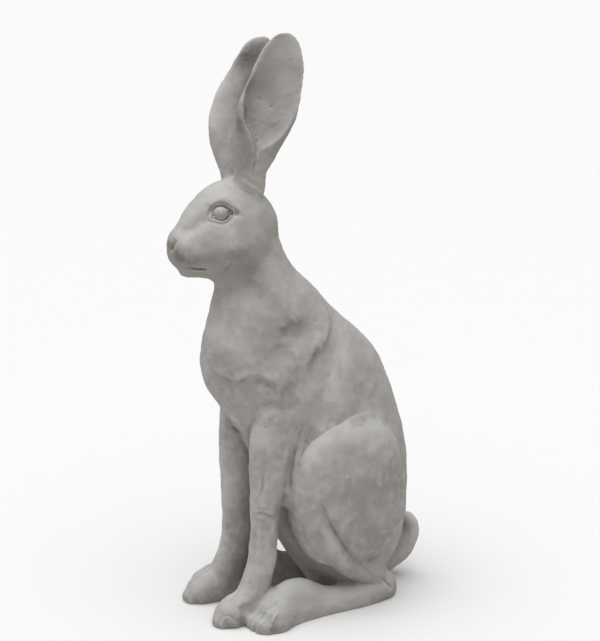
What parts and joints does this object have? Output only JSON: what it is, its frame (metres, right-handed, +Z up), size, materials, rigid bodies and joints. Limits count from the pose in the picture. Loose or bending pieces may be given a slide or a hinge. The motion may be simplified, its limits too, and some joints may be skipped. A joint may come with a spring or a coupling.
{
  "type": "garden hare statue",
  "caption": "Cast stone hare sitting upright with its ears raised, a garden ornament that stands on the flat soles of its feet.",
  "frame": {"origin": "on the ground plane under the middle of the figure's bounding box", "axes": "+Z up through the ears, -Y the way the hare faces, +X its left"},
  "size_m": [0.2038, 0.339, 0.7026],
  "materials": {
    "cast_stone": "matt weathered cast stone"
  },
  "bodies": {
    "root": {"hare": "cast_stone"}
  },
  "joints": []
}
